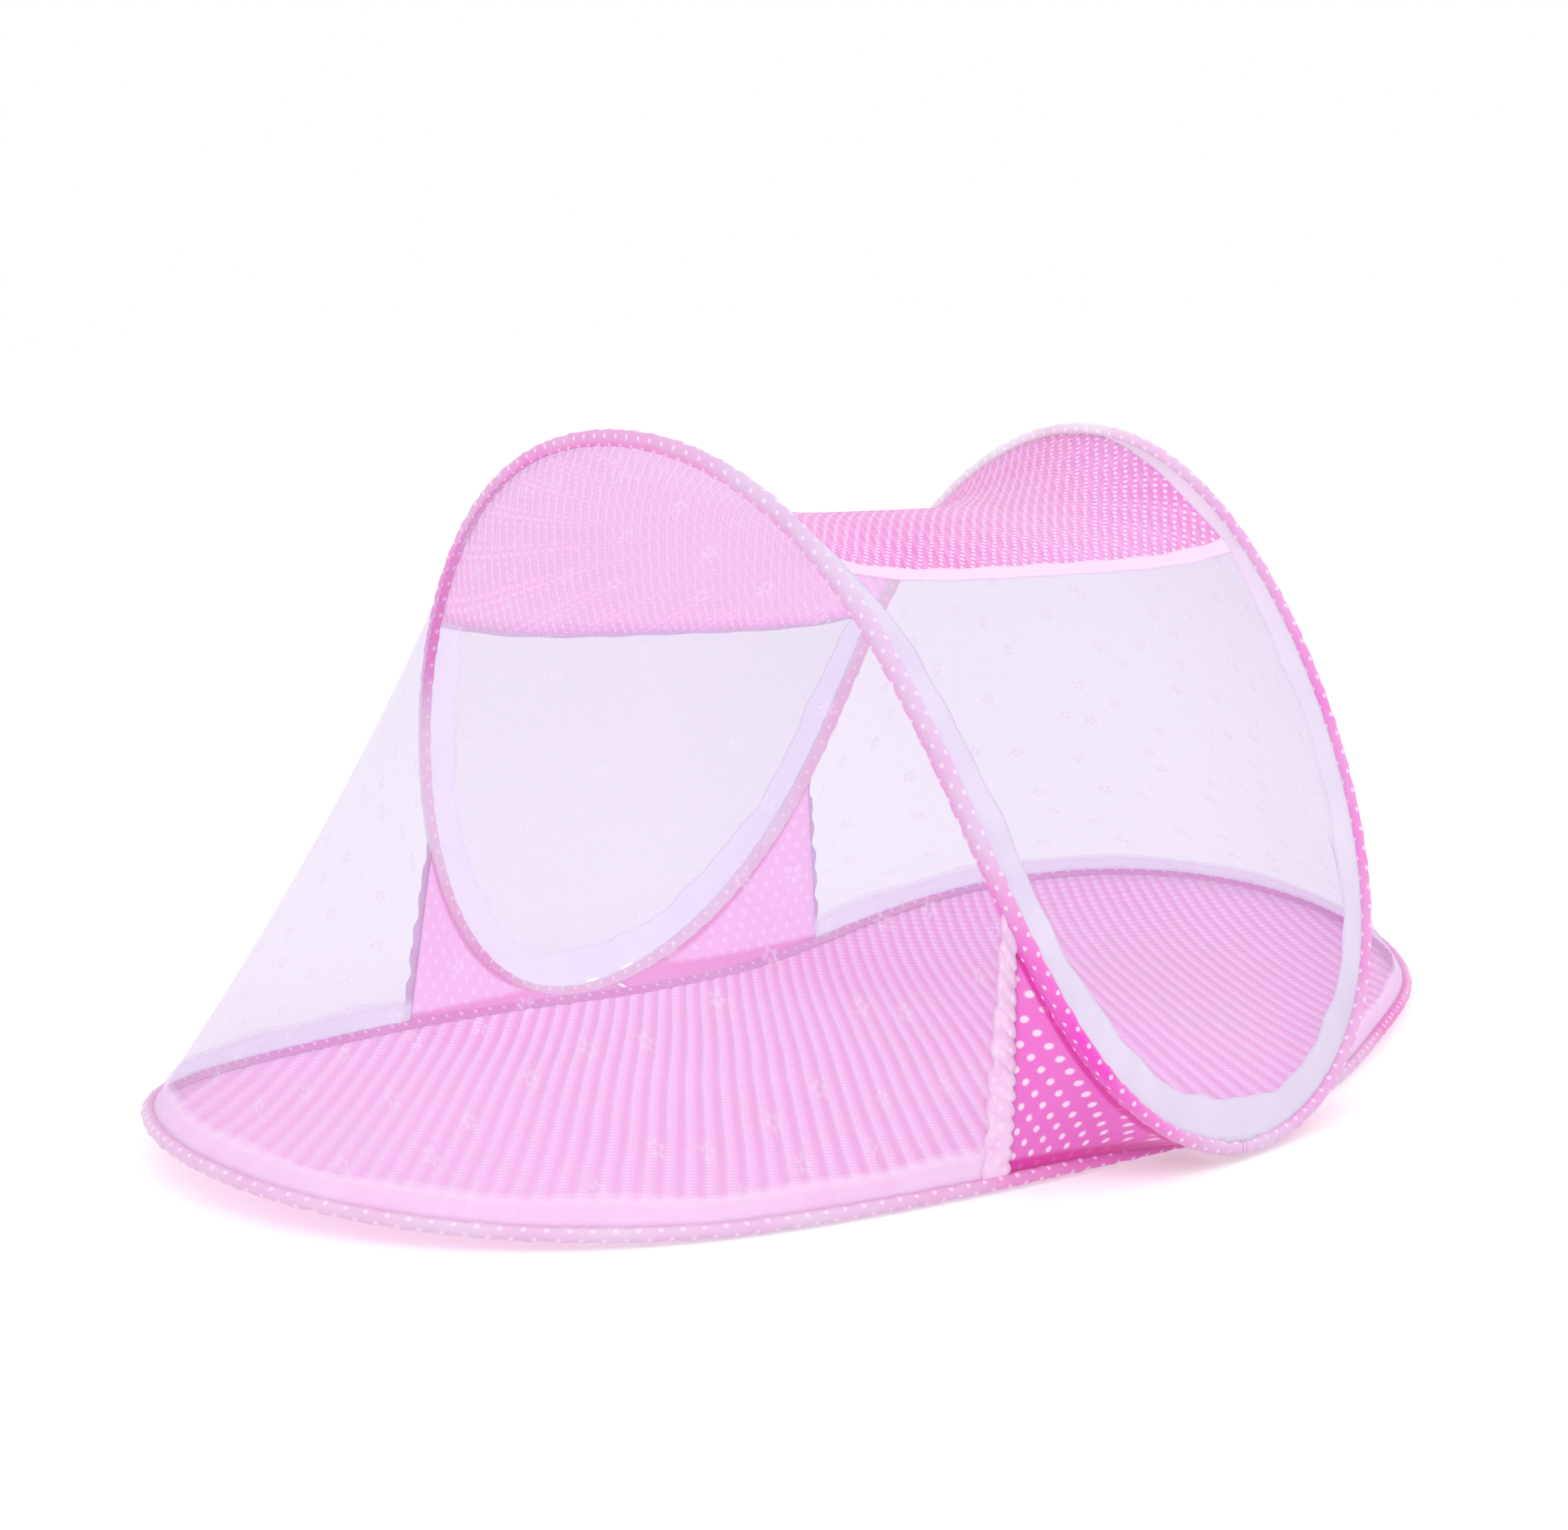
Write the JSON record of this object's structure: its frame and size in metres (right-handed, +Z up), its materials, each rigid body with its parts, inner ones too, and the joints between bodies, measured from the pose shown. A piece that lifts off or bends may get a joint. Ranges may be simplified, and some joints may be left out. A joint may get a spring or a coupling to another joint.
{
  "type": "mosquito net tent",
  "caption": "Low pop-up mosquito net tent: a flat oval floor hoop and a saddle-shaped hoop of two arches, with net ends, shielded sides, a dotted mesh roof and a mesh floor.",
  "frame": {"origin": "centre of the overall box, on the floor", "axes": "+X along the tent towards its right end, +Y from the near side to the far side, +Z up"},
  "size_m": [1.102, 0.6864, 0.4373],
  "materials": {
    "spring_wire": "bright drawn spring steel",
    "crimped_tube": "plain crimped steel tube",
    "dotted_binding": "rolled pink cloth with white dots",
    "white_net": "fine sheer white net",
    "pale_hem_tape": "folded net hem, pale lilac white",
    "scalloped_edging": "pale edging strip",
    "dotted_gusset": "pink cloth with white dots",
    "ribbed_mesh_mat": "ribbed pink mesh",
    "dotted_roof_mesh": "pink mesh with pale dots and ribs"
  },
  "bodies": {
    "right_half": {"floor_hoop_wire_right": "spring_wire", "arch_wire_right": "spring_wire", "floor_hoop_ferrule": "crimped_tube", "arch_ferrule": "crimped_tube", "floor_hoop_binding_right": "dotted_binding", "arch_binding_right": "dotted_binding", "end_net_right": "white_net", "end_net_hem_right": "pale_hem_tape", "gusset_near_right": "dotted_gusset", "gusset_far_right": "dotted_gusset", "gusset_edging_near_right": "scalloped_edging", "gusset_edging_far_right": "scalloped_edging", "floor_mat_right": "ribbed_mesh_mat", "side_hem_near": "pale_hem_tape", "side_hem_far": "pale_hem_tape", "side_net_near": "white_net", "side_net_far": "white_net", "roof_panel": "dotted_roof_mesh", "roof_edging_near": "scalloped_edging", "roof_edging_far": "scalloped_edging"},
    "left_half": {"floor_hoop_wire_left": "spring_wire", "arch_wire_left": "spring_wire", "floor_hoop_binding_left": "dotted_binding", "arch_binding_left": "dotted_binding", "end_net_left": "white_net", "end_net_hem_left": "pale_hem_tape", "gusset_near_left": "dotted_gusset", "gusset_far_left": "dotted_gusset", "gusset_edging_near_left": "scalloped_edging", "gusset_edging_far_left": "scalloped_edging", "floor_mat_left": "ribbed_mesh_mat"}
  },
  "joints": [
    {"name": "book_fold", "type": "hinge", "parent": "right_half", "child": "left_half", "pos_m": [0, 0, 0.0175], "axis": [0, 1, 0], "range_deg": [0, 45], "stiffness_Nm_per_rad": 0.6, "springref_deg": -20.05, "deforming": ["side_hem_near", "side_hem_far", "side_net_near", "side_net_far", "roof_panel", "roof_edging_near", "roof_edging_far"]}
  ]
}
